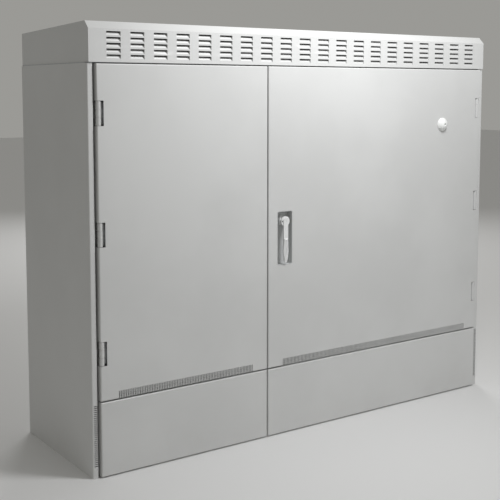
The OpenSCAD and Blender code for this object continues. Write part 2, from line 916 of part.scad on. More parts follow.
// The turning foot of the handle: a round block with a slot for the lever, and the spindle
module handle_rotor() {
    slot_w = lever_w + 2 * run_air;
    eye_x = (rotor_r + slot_w / 2) / 2;
    color(white) translate([spindle_x, 0, spindle_z]) {
        difference() {
            translate([0, rotor_face_y, 0]) rotate([-90, 0, 0])
                cylinder(r = rotor_r, h = rotor_rear_y - rotor_face_y);
            block([-slot_w / 2, rotor_face_y - over, -rotor_r - over],
                [slot_w / 2, rotor_seat_y, rotor_r + over]);
            translate([-eye_x, rotor_face_y - over, 0]) rotate([-90, 0, 0])
                cylinder(r = rotor_eye_r, h = rotor_eye_d + over);
            translate([-spindle_x, 0, -spindle_z]) lever_pin_bore();
        }
        translate([0, rotor_rear_y, 0]) rotate([-90, 0, 0])
            cylinder(r = spindle_r, h = lock_case_rear_y - rotor_rear_y);
    }
}

module lever_pin_bore() {
    translate([spindle_x - lever_w, lever_pin_y, spindle_z]) rotate([0, 90, 0])
        cylinder(r = lever_pin_r + pin_air, h = 2 * lever_w);
}

module lever_pin() {
    half = lever_w / 2 + lever_pin_seat;
    color(steel) translate([spindle_x - half, lever_pin_y, spindle_z]) rotate([0, 90, 0])
        cylinder(r = lever_pin_r, h = 2 * half);
}

// The lever from the front, as (x, z) from its pin: round head, neck, grip that widens, round tip
module lever_front() {
    half = lever_w / 2;
    belly = lever_belly_w / 2;
    tip_z = -lever_l + lever_tip_r;
    translate([0, lever_head_up - half]) circle(half);
    grip = lever_grip_w / 2;
    grip_z = -lever_shoulder_drop - lever_shoulder_h;
    polygon([[-half, lever_head_up - half], [half, lever_head_up - half], [half, -lever_shoulder_drop],
        [grip, grip_z], [belly, -lever_belly_drop], [lever_tip_r, tip_z], [-lever_tip_r, tip_z],
        [-belly, -lever_belly_drop], [-grip, grip_z], [-half, -lever_shoulder_drop]]);
    translate([0, tip_z]) circle(lever_tip_r);
}

// The lever from the side, as (y, z): a slim neck, a step up to the grip, which thins to its tip
module lever_side() {
    neck_front = lever_rear_y - lever_neck_t;
    grip_front = lever_rear_y - lever_t;
    polygon([[lever_rear_y, lever_head_up], [neck_front, lever_head_up], [neck_front, -lever_shoulder_drop],
        [grip_front, -lever_shoulder_drop - lever_shoulder_h], [grip_front, -lever_belly_drop],
        [lever_rear_y - lever_tip_t, -lever_l], [lever_rear_y, -lever_l]]);
}

// The lever from above, as (x, y): two flanks that meet in a ridge
module lever_flanks() {
    half = lever_belly_w / 2;
    edge_y = lever_rear_y - lever_t + lever_ridge;
    polygon([[-half, lever_rear_y], [-half, edge_y], [0, edge_y - lever_ridge], [half, edge_y],
        [half, lever_rear_y]]);
}

module handle_lever() {
    neck_front = lever_rear_y - lever_neck_t;
    grip_front = lever_rear_y - lever_t;
    color(white) translate([spindle_x, 0, spindle_z]) difference() {
        union() {
            intersection() {
                translate([0, grip_front, 0]) run_y(lever_t) lever_front();
                translate([-lever_belly_w / 2, 0, 0]) run_x(lever_belly_w) lever_side();
                translate([0, 0, -lever_l]) linear_extrude(lever_l + lever_head_up) lever_flanks();
            }
            translate([-lever_w / 2, lever_pin_y, 0]) rotate([0, 90, 0])
                cylinder(r = lever_hub_r, h = lever_w);
            block([-lever_w / 2, lever_rear_y, -lever_hub_r], [lever_w / 2, lever_pin_y, lever_hub_r]);
        }
        translate([0, neck_front - over, 0]) rotate([-90, 0, 0])
            cylinder(r = lever_dimple_r, h = lever_dimple_d + over);
        block([-lever_groove_w / 2, grip_front - over, -lever_l - over],
            [lever_groove_w / 2, grip_front + lever_groove_d, -lever_shoulder_drop - lever_shoulder_h]);
        translate([-spindle_x, 0, -spindle_z]) lever_pin_bore();
    }
}

// Involute gear teeth
function involute(angle) = tan(angle) - angle * PI / 180;
base_circle_r = pitch_r * cos(pressure_angle);
tip_circle_r = pitch_r + addendum;
root_circle_r = pitch_r - dedendum;
flank_steps = 5;
half_tooth = (PI * tooth_module / 2 - tooth_backlash / 2) / 2;

// Half of a tooth's angle at a radius
function tooth_angle(r) =
    half_tooth / pitch_r * 180 / PI
        + (involute(pressure_angle) - involute(acos(base_circle_r / r))) * 180 / PI;

flank_radii = [for (i = [0 : flank_steps]) base_circle_r + i / flank_steps * (tip_circle_r - base_circle_r)];

function polar(r, angle) = [r * cos(angle), r * sin(angle)];

function tooth_points(middle) = concat(
    [polar(root_circle_r, middle - tooth_angle(base_circle_r))],
    [for (i = [0 : flank_steps]) polar(flank_radii[i], middle - tooth_angle(flank_radii[i]))],
    [for (i = [flank_steps : -1 : 0]) polar(flank_radii[i], middle + tooth_angle(flank_radii[i]))],
    [polar(root_circle_r, middle + tooth_angle(base_circle_r))]);

module lock_pinion() {
    mid = rod_mid_y - pinion_t / 2;
    color(steel) translate([spindle_x, mid, spindle_z]) run_y(pinion_t) difference() {
        polygon([for (k = [0 : pinion_teeth - 1]) each tooth_points(k * 360 / pinion_teeth)]);
        circle(spindle_r + pin_air);
    }
}

// Rack teeth towards +x from a rod's edge, as (x, z) from the pinion's middle height
module rack_teeth_outline() {
    pitch = PI * tooth_module;
    root = half_tooth + dedendum * tan(pressure_angle);
    tip = half_tooth - addendum * tan(pressure_angle);
    for (i = [0 : rack_teeth - 1]) translate([0, (i - rack_lead + 1 / 2) * pitch])
        polygon([[-rack_sink, -root], [0, -root], [dedendum + addendum, -tip],
            [dedendum + addendum, tip], [0, root], [-rack_sink, root]]);
}

// A lock rod left of the pinion, with its rack; lengths from the pinion's middle
module lock_rod(up, down) {
    color(steel) translate([0, rod_front_y, 0]) run_y(rod_t) {
        translate([-rod_offset - rod_w / 2, -down]) square([rod_w, up + down]);
        translate([-pitch_r - dedendum, 0]) rack_teeth_outline();
    }
}

module upper_rod() {
    translate([spindle_x, 0, spindle_z])
        lock_rod(top_rail_low - tip_air - spindle_z, rack_reach);
}

module lower_rod() {
    translate([spindle_x, 0, spindle_z]) rotate([0, 180, 0])
        lock_rod(spindle_z - floor_high - tip_air, rack_reach);
}

module rod_hole(x, low, high) {
    block([x - rod_w / 2 - run_air, rod_front_y - run_air, low],
        [x + rod_w / 2 + run_air, rod_rear_y + run_air, high]);
}

module lock_case() {
    lo = [spindle_x - lock_case_w / 2, door_rear_y, spindle_z - lock_case_h / 2];
    hi = [spindle_x + lock_case_w / 2, lock_case_rear_y, spindle_z + lock_case_h / 2];
    wall = lock_case_wall;
    color(zinc) difference() {
        block(lo, hi);
        block(lo + [wall, -over, wall], hi - [wall, wall, wall]);
        rod_hole(upper_rod_x, spindle_z, hi.z + over);
        rod_hole(lower_rod_x, lo.z - over, spindle_z);
        translate([spindle_x, lock_case_rear_y - wall - over, spindle_z]) rotate([-90, 0, 0])
            cylinder(r = spindle_r + run_air, h = wall + 2 * over);
    }
}

module rod_guide(x, low) {
    side = rod_w / 2 + guide_wall;
    difference() {
        block([x - side, door_rear_y, low], [x + side, rod_rear_y + guide_wall, low + guide_h]);
        rod_hole(x, low - over, low + guide_h + over);
    }
}

module rod_guides() {
    color(zinc) {
        rod_guide(upper_rod_x, top_rail_low - 2 * guide_h);
        rod_guide(lower_rod_x, floor_high + guide_h);
    }
}

// A domed plug with a shank through the door's skin and a recessed screw in its middle
module dome_plug() {
    plug_r = plug_dia / 2;
    dome_r = (plug_r * plug_r + plug_h * plug_h) / (2 * plug_h);
    color(white) translate([plug_x, front_y, plug_z]) rotate([90, 0, 0]) difference() {
        union() {
            intersection() {
                translate([0, 0, plug_h - dome_r]) sphere(dome_r);
                cylinder(r = plug_r, h = plug_h);
            }
            translate([0, 0, -plug_shank_l]) cylinder(r = plug_shank_r, h = plug_shank_l);
        }
        translate([0, 0, plug_h - plug_screw_d]) cylinder(r = plug_screw_r, h = plug_screw_d + over);
    }
}

base_rail_front();
base_rail_rear();
base_rail_left();
base_rail_right();
post_front_left();
post_front_right();
post_rear_left();
post_rear_right();
centre_post();
top_rail_front();
top_rail_rear();
sill_rail_front();
sill_rail_rear();
side_panel_left();
side_panel_right();
rear_panel();
roof_plate();
hood();
floor_plate_left();
floor_plate_right();
partition_wall();
plinth_panel_left();
plinth_panel_right();
mounting_plate();
din_rails();
cable_clamp_rail();
earth_bar();
rack_rails_front();
rack_rails_rear();
rack_cross_bars();
left_frame_hinges();
right_frame_hinges();
left_hinge_pins();
right_hinge_pins();
left_door_skin();
left_door_liner();
left_door_stiffener();
left_door_seal();
left_door_hinges();
left_bolt_guides();
left_bolt_upper();
left_bolt_lower();
right_door_skin();
right_door_liner();
right_door_stiffener();
right_door_seal();
right_door_hinges();
handle_pan();
lock_case();
rod_guides();
dome_plug();
handle_rotor();
lock_pinion();
lever_pin();
handle_lever();
upper_rod();
lower_rod();
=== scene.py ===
"""Dresses a roadside utility cabinet: coated sheet covers, hinges, handle, fasteners and a plain stage."""

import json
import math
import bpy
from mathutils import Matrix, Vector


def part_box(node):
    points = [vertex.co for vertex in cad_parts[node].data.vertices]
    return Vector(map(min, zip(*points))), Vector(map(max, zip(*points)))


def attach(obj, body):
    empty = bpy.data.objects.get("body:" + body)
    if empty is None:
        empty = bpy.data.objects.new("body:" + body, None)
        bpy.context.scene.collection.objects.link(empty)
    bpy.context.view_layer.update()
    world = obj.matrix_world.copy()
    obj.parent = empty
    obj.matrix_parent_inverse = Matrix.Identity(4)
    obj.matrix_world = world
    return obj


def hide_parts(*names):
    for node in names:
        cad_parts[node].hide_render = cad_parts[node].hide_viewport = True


bl_info = {
    "name": "Roadside Cabinet Dresser",
    "version": (1, 0, 0),
    "blender": (4, 5, 0),
    "location": "View3D > Sidebar > Cabinet",
    "description": "Finishes the sheets, hinges, handle and fasteners of a roadside utility cabinet",
    "category": "Object",
}

import bmesh
import bpy
from bpy.props import FloatProperty, FloatVectorProperty, IntProperty, PointerProperty
from mathutils import Matrix, Vector

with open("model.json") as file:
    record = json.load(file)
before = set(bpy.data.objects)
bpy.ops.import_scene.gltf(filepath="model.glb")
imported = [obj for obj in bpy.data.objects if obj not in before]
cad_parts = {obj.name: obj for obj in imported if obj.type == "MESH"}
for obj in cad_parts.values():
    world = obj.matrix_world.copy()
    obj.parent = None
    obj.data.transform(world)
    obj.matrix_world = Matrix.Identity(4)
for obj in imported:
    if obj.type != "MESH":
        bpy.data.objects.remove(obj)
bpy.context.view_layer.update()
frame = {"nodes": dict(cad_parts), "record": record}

MM = 0.001
MERGE_DISTANCE = 0.002 * MM
FLAT_ANGLE = math.radians(0.5)
SHARP_ANGLE = math.radians(40)
SMOOTH_ANGLE = math.radians(35)
FORWARD = (0, -1, 0)
REARWARD = (0, 1, 0)
UPWARD = (0, 0, 1)
HEAD_SEGMENTS = 48

# A screw's head: top radius and rim as shares of its radius, recess as a share of its height
SCREW_SEGMENTS = 18
SCREW_TOP = 0.86
SCREW_RIM = 0.38
SCREW_RECESS = 0.6

# Powder coat: how far its slow cloud changes colour and gloss
CLOUD_DARK = 0.965
CLOUD_LIGHT = 1.02
CLOUD_GLOSS = 0.05

CABINET_MIDDLE = (0.0, 0.0, 0.7)
LIGHTS = (
    {
        "name": "key_light", "place": (0.12, -1.05, 2.05), "target": (0.1, -0.25, 0.9),
        "size": 0.5, "energy": 21.5, "colour": (0.985, 0.99, 1.0),
    },
    {
        "name": "front_fill", "place": (1.4, -4.5, 1.5), "target": CABINET_MIDDLE,
        "size": 3.5, "energy": 17.5, "colour": (0.96, 0.98, 1.0),
    },
    {
        "name": "rear_light", "place": (2.6, 4.2, 2.6), "target": CABINET_MIDDLE,
        "size": 2.6, "energy": 70.0, "colour": (1.0, 1.0, 1.0),
    },
)

# CAD nodes by the step that dresses them
COVER_NODES = (
    "hood", "side_panel_left", "side_panel_right", "rear_panel", "plinth_panel_left", "plinth_panel_right",
    "left_door_skin", "right_door_skin",
)
HINGE_NODES = (
    "left_frame_hinges", "right_frame_hinges", "left_door_hinges", "right_door_hinges",
    "left_hinge_pins", "right_hinge_pins",
)
HANDLE_NODES = ("handle_pan", "handle_rotor", "handle_lever", "dome_plug")
LOCK_NODES = (
    "lever_pin", "lock_case", "lock_pinion", "rod_guides", "upper_rod", "lower_rod",
    "left_bolt_guides", "left_bolt_upper", "left_bolt_lower",
)
SLOT_OF_NODE = {part["node"]: part["material_slot"] for part in frame["record"]["subparts"]}
BODY_OF_NODE = {
    node: body for body, nodes in frame["record"]["behaviour"]["bodies"].items() for node in nodes
}


def colour_property(name, description, default):
    return FloatVectorProperty(
        name=name, description=description, subtype="COLOR", size=3, min=0.0, max=1.0, default=default
    )


def length_property(name, description, default):
    return FloatProperty(name=name, description=description, default=default, unit="LENGTH")


def angle_property(name, description, degrees):
    return FloatProperty(name=name, description=description, default=math.radians(degrees), unit="ROTATION")


class CabinetFinish(bpy.types.PropertyGroup):
    """Colours and textures of the cabinet's materials"""

    coat: colour_property("Coat", "Light grey powder coat of the covers", (0.598, 0.602, 0.598))
    # Dust and painted shade: a darker colour near the ground, partly dust and partly shade painted into the
    # coat
    coat_dust_and_shade: colour_property("Ground dust and painted shade", "Dust and painted shade near the ground", (0.42, 0.41, 0.38))
    zinc: colour_property("Galvanised", "Galvanised rails and plates", (0.50, 0.52, 0.54))
    steel: colour_property("Bright steel", "Pins, rods and screws", (0.60, 0.61, 0.63))
    rubber: colour_property("Seal", "Foam rubber of the door seals", (0.018, 0.018, 0.020))
    handle: colour_property("Handle pan", "Mid grey coat of the handle's pan", (0.53, 0.54, 0.54))
    lever: colour_property("Lever", "Off-white coat of the lever", (0.73, 0.735, 0.735))
    plug: colour_property("Plug", "White plastic of the domed plug", (0.80, 0.81, 0.80))
    copper: colour_property("Earth bar", "Bare copper of the earth bar", (0.72, 0.35, 0.20))
    peel_size: length_property("Orange peel", "Size of the coat's fine waves", 1.6 * MM)
    peel_depth: length_property("Peel depth", "Depth of the coat's fine waves", 0.02 * MM)
    dust_and_shade_height: length_property("Dust and shade height", "Height to which ground dust rises", 0.22)
    dust_and_shade_amount: FloatProperty(name="Dust and shade amount", description="Share of dust at the ground", default=0.12)


class CabinetEdges(bpy.types.PropertyGroup):
    """Rounding of edges, the lever's head and the fasteners"""

    sheet_edge: length_property("Sheet edge", "Rounding of cut sheet edges", 0.45 * MM)
    fine_edge: length_property("Fine edge", "Rounding of the lock's edges", 0.3 * MM)
    cast_edge: length_property("Cast edge", "Rounding of the handle's cast edges", 1.2 * MM)
    edge_segments: IntProperty(name="Segments", description="Faces across a rounded edge", default=2, min=1)
    head_r: length_property("Lever head", "Radius of the lever's round head", 17 * MM)
    head_t: length_property("Head thickness", "Thickness of the lever's round head", 3.5 * MM)
    head_back: length_property("Head setback", "From the lever's front to its round head", 8 * MM)
    eye_r: length_property("Eye", "Radius of the eye in the lever's head", 3.2 * MM)
    eye_shift: length_property("Eye place", "From the middle of the lever's head to its eye", 12.5 * MM)
    screw_r: length_property("Screw head", "Radius of a screw's head", 5.0 * MM)
    screw_h: length_property("Head height", "Height of a screw's head", 3.0 * MM)
    plate_inset: length_property("Plate screws", "From a plate's edge to its screws", 18 * MM)
    liner_inset: length_property("Liner screws", "From a liner's edge to its screws", 42 * MM)
    case_inset: length_property("Case screws", "From the lock case's edge to its screws", 9 * MM)
    floor_inset: length_property("Floor screws", "From a floor plate's end to its screws", 60 * MM)
    rail_inset: length_property("Rail screws", "From a floor plate's edge to its screws", 15 * MM)
    din_sheet: length_property("DIN rail", "Sheet of the DIN rails", 1.0 * MM)
    earth_pitch: length_property("Earth screws", "From one earth screw to the next", 25 * MM)


class CabinetStage(bpy.types.PropertyGroup):
    """Camera, floor and surroundings"""

    camera_place: FloatVectorProperty(
        name="Camera", description="Place of the camera", subtype="TRANSLATION",
        default=(-2.0251, -2.7786, 1.1503),
    )
    camera_turn: angle_property("Turn", "Turn of the view to the right", 34.847)
    camera_tilt: angle_property("Tilt", "Tilt of the view downwards", 5.585)
    lens: FloatProperty(
        name="Lens", description="Focal length in millimetres", default=69.50, subtype="DISTANCE_CAMERA"
    )
    rise: FloatProperty(name="Shift", description="Vertical shift of the lens", default=-0.13)
    floor_size: length_property("Floor", "Width of the floor", 40.0)
    floor_roughness: FloatProperty(name="Floor gloss", description="Roughness of the floor", default=0.6)
    floor_colour: colour_property("Floor colour", "Pale floor", (0.74, 0.74, 0.74))
    world_colour: colour_property("Surroundings", "Even light from all around", (0.845, 0.835, 0.79))
    world_strength: FloatProperty(name="Strength", description="Strength of the even light", default=0.385)


# Node trees


def new_group(name, inputs, outputs):
    """An empty shader node group with float sockets."""
    group = bpy.data.node_groups.new(name, "ShaderNodeTree")
    for socket, default in inputs.items():
        item = group.interface.new_socket(socket, in_out="INPUT", socket_type="NodeSocketFloat")
        item.default_value = default
    for socket in outputs:
        group.interface.new_socket(socket, in_out="OUTPUT", socket_type="NodeSocketFloat")
    return group, group.nodes.new("NodeGroupInput"), group.nodes.new("NodeGroupOutput")


def object_noise(nodes, links, scale, detail, roughness):
    """A noise on Object coordinates, whose scale is a number or another node's output."""
    place = nodes.new("ShaderNodeTexCoord")
    noise = nodes.new("ShaderNodeTexNoise")
    noise.inputs["Detail"].default_value = detail
    noise.inputs["Roughness"].default_value = roughness
    links.new(place.outputs["Object"], noise.inputs["Vector"])
    if isinstance(scale, bpy.types.NodeSocket):
        links.new(scale, noise.inputs["Scale"])
    else:
        noise.inputs["Scale"].default_value = scale
    return noise


def map_range(nodes, links, source, low, high, to_low, to_high):
    node = nodes.new("ShaderNodeMapRange")
    node.interpolation_type = "SMOOTHSTEP"
    for key, value in zip(("From Min", "From Max", "To Min", "To Max"), (low, high, to_low, to_high)):
        node.inputs[key].default_value = value
    links.new(source, node.inputs["Value"])
    return node.outputs["Result"]


def combine(nodes, links, operation, first, second):
    """One arithmetic step on two sockets."""
    node = nodes.new("ShaderNodeMath")
    node.operation = operation
    links.new(first, node.inputs[0])
    links.new(second, node.inputs[1])
    return node.outputs["Value"]


def coat_texture_group():
    """Powder coat: fine waves for the bump, and a slow cloud for colour and gloss."""
    scales = {"Wave scale": 600.0, "Cloud scale": 3.0}
    group, inputs, outputs = new_group("Coat texture", scales, ("Waves", "Cloud"))
    nodes, links = group.nodes, group.links
    waves = object_noise(nodes, links, inputs.outputs["Wave scale"], detail=2.0, roughness=0.45)
    cloud = object_noise(nodes, links, inputs.outputs["Cloud scale"], detail=3.0, roughness=0.5)
    soft_cloud = map_range(nodes, links, cloud.outputs["Fac"], low=0.35, high=0.65, to_low=0.0, to_high=1.0)
    links.new(waves.outputs["Fac"], outputs.inputs["Waves"])
    links.new(soft_cloud, outputs.inputs["Cloud"])
    return group


def ground_dust_and_shade_group():
    """Dust and painted shade: a darker colour that thins out with height, broken up by a noise."""
    group, inputs, outputs = new_group("Ground dust and painted shade", {"Height": 0.2, "Amount": 0.5}, ("Mask",))
    nodes, links = group.nodes, group.links
    place = nodes.new("ShaderNodeTexCoord")
    split = nodes.new("ShaderNodeSeparateXYZ")
    links.new(place.outputs["Object"], split.inputs["Vector"])
    rise = combine(nodes, links, "DIVIDE", split.outputs["Z"], inputs.outputs["Height"])
    fade = map_range(nodes, links, rise, low=0.0, high=1.0, to_low=1.0, to_high=0.0)
    broken = object_noise(nodes, links, scale=9.0, detail=5.0, roughness=0.6)
    patches = map_range(nodes, links, broken.outputs["Fac"], low=0.35, high=0.7, to_low=0.3, to_high=1.0)
    cover = combine(nodes, links, "MULTIPLY", fade, patches)
    mask = combine(nodes, links, "MULTIPLY", cover, inputs.outputs["Amount"])
    links.new(mask, outputs.inputs["Mask"])
    return group


def spangle_group():
    """Zinc crystals: flat patches of even tone, and a fine grain."""
    group, inputs, outputs = new_group("Zinc spangle", {"Scale": 60.0}, ("Crystal", "Grain"))
    nodes, links = group.nodes, group.links
    place = nodes.new("ShaderNodeTexCoord")
    cells = nodes.new("ShaderNodeTexVoronoi")
    links.new(place.outputs["Object"], cells.inputs["Vector"])
    links.new(inputs.outputs["Scale"], cells.inputs["Scale"])
    split = nodes.new("ShaderNodeSeparateColor")
    links.new(cells.outputs["Color"], split.inputs["Color"])
    links.new(split.outputs["Red"], outputs.inputs["Crystal"])
    grain = object_noise(nodes, links, scale=300.0, detail=3.0, roughness=0.6)
    links.new(grain.outputs["Fac"], outputs.inputs["Grain"])
    return group


GROUP_MAKERS = {
    "Coat texture": coat_texture_group,
    "Ground dust and painted shade": ground_dust_and_shade_group,
    "Zinc spangle": spangle_group,
}


class MaterialDraft:
    """A new material with its Principled BSDF, and short ways to add to it."""

    def __init__(self, name, colour, roughness, metallic=0.0):
        self.material = bpy.data.materials.new(name)
        self.material.use_nodes = True
        self.nodes = self.material.node_tree.nodes
        self.links = self.material.node_tree.links
        self.shader = self.nodes["Principled BSDF"]
        self.shader.inputs["Base Color"].default_value = (*colour, 1.0)
        self.shader.inputs["Roughness"].default_value = roughness
        self.shader.inputs["Metallic"].default_value = metallic

    def group(self, name, **values):
        node = self.nodes.new("ShaderNodeGroup")
        node.node_tree = bpy.data.node_groups.get(name) or GROUP_MAKERS[name]()
        for socket, value in values.items():
            node.inputs[socket.replace("_", " ").capitalize()].default_value = value
        return node

    def blend_colour(self, factor, low, high):
        """Base Color from low to high by a factor; low may be another node's colour."""
        mix = self.nodes.new("ShaderNodeMix")
        mix.data_type = "RGBA"
        self.links.new(factor, mix.inputs["Factor"])
        colours = [socket for socket in mix.inputs if socket.type == "RGBA"]
        for socket, value in zip(colours, (low, high)):
            if isinstance(value, bpy.types.NodeSocket):
                self.links.new(value, socket)
            else:
                socket.default_value = (*value, 1.0)
        return next(socket for socket in mix.outputs if socket.type == "RGBA")

    def set_colour(self, colour):
        self.links.new(colour, self.shader.inputs["Base Color"])

    def set_roughness(self, source, low, high):
        gloss = map_range(self.nodes, self.links, source, low=0.0, high=1.0, to_low=low, to_high=high)
        self.links.new(gloss, self.shader.inputs["Roughness"])

    def set_bump(self, height, depth):
        bump = self.nodes.new("ShaderNodeBump")
        bump.inputs["Strength"].default_value = 1.0
        bump.inputs["Distance"].default_value = depth
        self.links.new(height, bump.inputs["Height"])
        self.links.new(bump.outputs["Normal"], self.shader.inputs["Normal"])


def shaded(colour, share):
    return tuple(channel * share for channel in colour)


def coated(name, colour, roughness, with_dust_and_shade):
    """Powder coat in one colour."""
    finish = bpy.context.scene.cabinet_finish
    draft = MaterialDraft(name, colour, roughness)
    texture = draft.group("Coat texture", wave_scale=1.0 / finish.peel_size)
    cloud = texture.outputs["Cloud"]
    tint = draft.blend_colour(cloud, shaded(colour, CLOUD_DARK), shaded(colour, CLOUD_LIGHT))
    # Dust and painted shade: the coat turns darker towards the ground, partly dust and partly painted shade
    if with_dust_and_shade:
        dust_and_shade = draft.group("Ground dust and painted shade", height=finish.dust_and_shade_height, amount=finish.dust_and_shade_amount)
        tint = draft.blend_colour(dust_and_shade.outputs["Mask"], tint, tuple(finish.coat_dust_and_shade))
    draft.set_colour(tint)
    draft.set_roughness(cloud, low=roughness - CLOUD_GLOSS, high=roughness + CLOUD_GLOSS)
    draft.set_bump(texture.outputs["Waves"], finish.peel_depth)
    return draft.material


def zinc_plated(name, colour, scale, roughness, contrast):
    """Zinc with crystals of one size, which differ in colour and gloss by a contrast."""
    draft = MaterialDraft(name, colour, roughness, metallic=1.0)
    spangle = draft.group("Zinc spangle", scale=scale)
    crystal = spangle.outputs["Crystal"]
    tint = draft.blend_colour(crystal, shaded(colour, 1 - contrast), shaded(colour, 1 + contrast))
    draft.set_colour(tint)
    draft.set_roughness(crystal, low=roughness - contrast / 2, high=roughness + contrast / 2)
    draft.set_bump(spangle.outputs["Grain"], depth=0.02 * MM)
    return draft.material


def foam_rubber(name, colour):
    draft = MaterialDraft(name, colour, roughness=0.85)
    pores = object_noise(draft.nodes, draft.links, scale=1400.0, detail=3.0, roughness=0.6)
    draft.set_colour(draft.blend_colour(pores.outputs["Fac"], shaded(colour, 0.6), shaded(colour, 1.6)))
    draft.set_bump(pores.outputs["Fac"], depth=0.15 * MM)
    return draft.material


def moulded_plastic(name, colour):
    draft = MaterialDraft(name, colour, roughness=0.35)
    texture = draft.group("Coat texture", wave_scale=2500.0)
    draft.set_colour(draft.blend_colour(texture.outputs["Cloud"], shaded(colour, 0.97), colour))
    draft.set_roughness(texture.outputs["Cloud"], low=0.3, high=0.4)
    draft.set_bump(texture.outputs["Waves"], depth=0.01 * MM)
    return draft.material


def bare_copper(name, colour):
    draft = MaterialDraft(name, colour, roughness=0.35, metallic=1.0)
    tarnish = object_noise(draft.nodes, draft.links, scale=45.0, detail=5.0, roughness=0.6)
    draft.set_colour(draft.blend_colour(tarnish.outputs["Fac"], shaded(colour, 0.55), shaded(colour, 1.1)))
    draft.set_roughness(tarnish.outputs["Fac"], low=0.25, high=0.5)
    return draft.material


def finish_for(slot):
    """The material of one of the record's slots, made once."""
    name = slot + "_finish"
    made = bpy.data.materials.get(name)
    if made:
        return made
    finish = bpy.context.scene.cabinet_finish
    makers = {
        # The powder coat carries the dust and painted shade near the ground
        "powder_coat": lambda: coated(name, tuple(finish.coat), roughness=0.36, with_dust_and_shade=True),
        "handle_grey": lambda: coated(name, tuple(finish.handle), roughness=0.45, with_dust_and_shade=False),
        "lever_white": lambda: coated(name, tuple(finish.lever), roughness=0.33, with_dust_and_shade=False),
        "zinc_plate": lambda: zinc_plated(
            name, tuple(finish.zinc), scale=70.0, roughness=0.42, contrast=0.11
        ),
        "bright_steel": lambda: zinc_plated(
            name, tuple(finish.steel), scale=150.0, roughness=0.3, contrast=0.05
        ),
        "seal_rubber": lambda: foam_rubber(name, tuple(finish.rubber)),
        "plug_white": lambda: moulded_plastic(name, tuple(finish.plug)),
        "bare_copper": lambda: bare_copper(name, tuple(finish.copper)),
    }
    return makers[slot]()


# Pieces


def add_piece(name, bm, slot, body):
    """A finished mesh as an object that rides on a body."""
    mesh = bpy.data.meshes.new(name)
    bm.to_mesh(mesh)
    bm.free()
    mesh.materials.append(finish_for(slot))
    mesh.shade_smooth()
    mesh.set_sharp_from_angle(angle=SMOOTH_ANGLE)
    piece = bpy.data.objects.new(name, mesh)
    bpy.context.scene.collection.objects.link(piece)
    weighted = piece.modifiers.new("Even shading", "WEIGHTED_NORMAL")
    weighted.keep_sharp = True
    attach(piece, body)
    return piece


def merged_copy(node):
    """A CAD node's shape as one joined bmesh with its flat faces whole."""
    bm = bmesh.new()
    bm.from_mesh(frame["nodes"][node].data)
    bmesh.ops.remove_doubles(bm, verts=bm.verts, dist=MERGE_DISTANCE)
    bmesh.ops.dissolve_limit(bm, angle_limit=FLAT_ANGLE, verts=bm.verts, edges=bm.edges, delimit=set())
    return bm


def round_edges(bm, width):
    """Rounds every edge that is sharper than a fold's facets."""
    segments = bpy.context.scene.cabinet_edges.edge_segments
    sharp = [edge for edge in bm.edges if edge.is_manifold and edge.calc_face_angle() > SHARP_ANGLE]
    bmesh.ops.bevel(
        bm, geom=sharp, offset=width, offset_type="OFFSET", affect="EDGES", segments=segments,
        profile=0.5, material=-1, clamp_overlap=True,
    )


def dress_node(node, width):
    """A rounded copy that stands for a CAD node."""
    bm = merged_copy(node)
    round_edges(bm, width)
    piece = add_piece("dressed_" + node, bm, SLOT_OF_NODE[node], BODY_OF_NODE[node])
    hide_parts(node)
    return piece


def screw_head(bm, place, direction):
    """A tapered screw head with a round recess, added to a bmesh."""
    edges = bpy.context.scene.cabinet_edges
    turn = Vector(UPWARD).rotation_difference(Vector(direction)).to_matrix().to_4x4()
    seat = Matrix.Translation(Vector(place)) @ turn @ Matrix.Translation((0, 0, edges.screw_h / 2))
    made = bmesh.ops.create_cone(
        bm, cap_ends=True, segments=SCREW_SEGMENTS, radius1=edges.screw_r,
        radius2=edges.screw_r * SCREW_TOP, depth=edges.screw_h, matrix=seat,
    )
    outward = turn.to_3x3() @ Vector(UPWARD)
    faces = {face for vert in made["verts"] for face in vert.link_faces}
    bm.normal_update()
    caps = [face for face in faces if len(face.verts) == SCREW_SEGMENTS]
    top = max(caps, key=lambda face: face.calc_center_median().dot(outward))
    bmesh.ops.inset_region(bm, faces=[top], thickness=edges.screw_r * SCREW_RIM)
    bmesh.ops.translate(bm, verts=top.verts, vec=-outward * edges.screw_h * SCREW_RECESS)


def solid_boxes(node):
    """The (low, high) corners of each solid in a node, in a fixed order."""
    bm = merged_copy(node)
    boxes = []
    left = set(bm.verts)
    while left:
        island = [left.pop()]
        for vert in island:
            near = {edge.other_vert(vert) for edge in vert.link_edges} & left
            left -= near
            island.extend(near)
        axes = list(zip(*(vert.co for vert in island)))
        boxes.append((Vector([min(axis) for axis in axes]), Vector([max(axis) for axis in axes])))
    bm.free()
    return sorted(boxes, key=lambda box: tuple(box[0]))


def screw_group(name, body, places, direction):
    """Like screws at several places, all facing one way."""
    bm = bmesh.new()
    for place in places:
        screw_head(bm, place, direction)
    bmesh.ops.recalc_face_normals(bm, faces=bm.faces)
    return add_piece(name, bm, "bright_steel", body)


def spread(low, high, count):
    """Evenly spread places from low to high."""
    return [low + (high - low) * i / (count - 1) for i in range(count)]


def perimeter(low, high, inset, count_x, count_z):
    """Places (x, z) along a rectangle inside a box."""
    xs = spread(low.x + inset, high.x - inset, count_x)
    zs = spread(low.z + inset, high.z - inset, count_z)
    return [(x, z) for x in xs for z in zs if x in (xs[0], xs[-1]) or z in (zs[0], zs[-1])]


